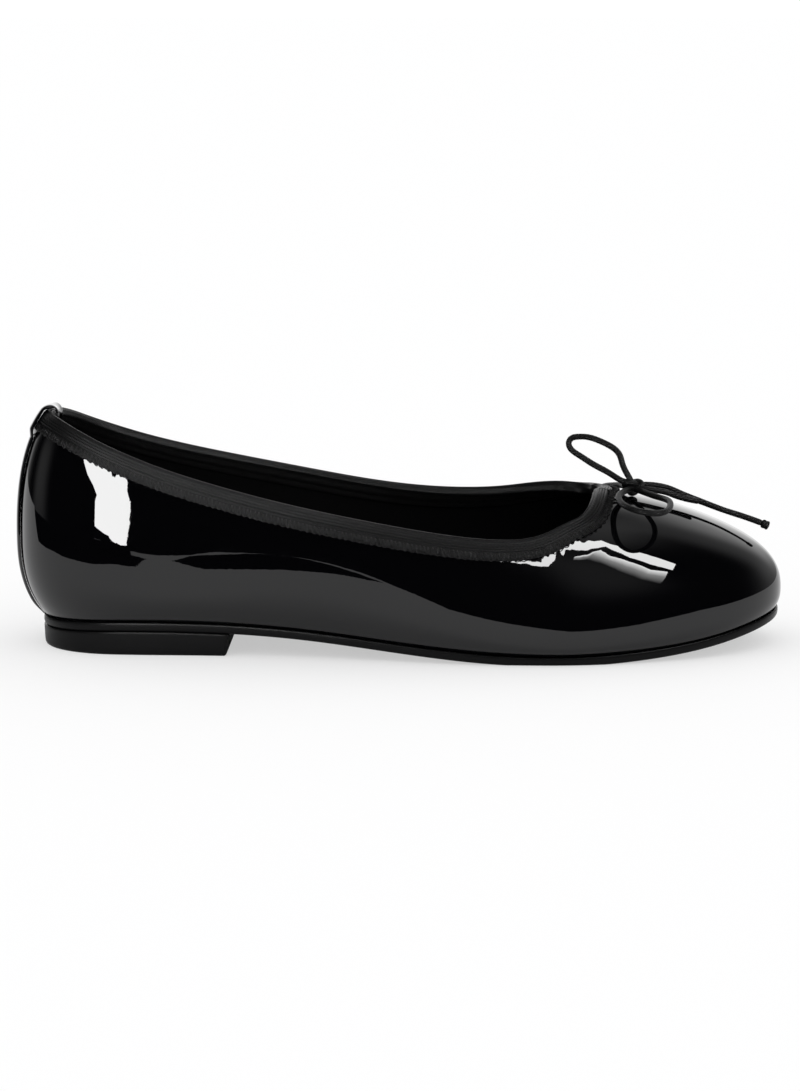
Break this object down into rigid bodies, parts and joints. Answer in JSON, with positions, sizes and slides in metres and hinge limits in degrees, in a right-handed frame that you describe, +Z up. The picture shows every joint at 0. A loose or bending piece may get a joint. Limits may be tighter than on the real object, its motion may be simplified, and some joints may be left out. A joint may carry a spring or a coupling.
{
  "type": "ballet flat",
  "caption": "Black patent ballet flat on a low block heel, with a ribbed elastic binding round the opening, a back strip folded over it and a thin cord bow.",
  "frame": {"origin": "on the floor under the middle of the shoe's box, the bow left out", "axes": "+X to the toe, +Y to the inner (medial) side, +Z up, from heel block and forefoot on one plane"},
  "size_m": [0.2502, 0.0826, 0.0785],
  "materials": {
    "patent": "patent, mirror gloss",
    "elastic": "ribbed woven elastic, matt",
    "cord": "fine braid, slight sheen",
    "sole_rubber": "satin",
    "lining": "matt"
  },
  "bodies": {
    "root": {"outsole": "sole_rubber", "heel_block": "sole_rubber", "insole": "lining", "upper": "patent", "topline_binding": "elastic", "back_strip": "patent", "bow_knot": "cord", "bow_loop_medial": "cord", "bow_loop_lateral": "cord", "bow_tail_long": "cord", "bow_tail_short": "cord", "bow_tail_knob": "cord", "bow_drawstring": "cord"}
  },
  "joints": []
}
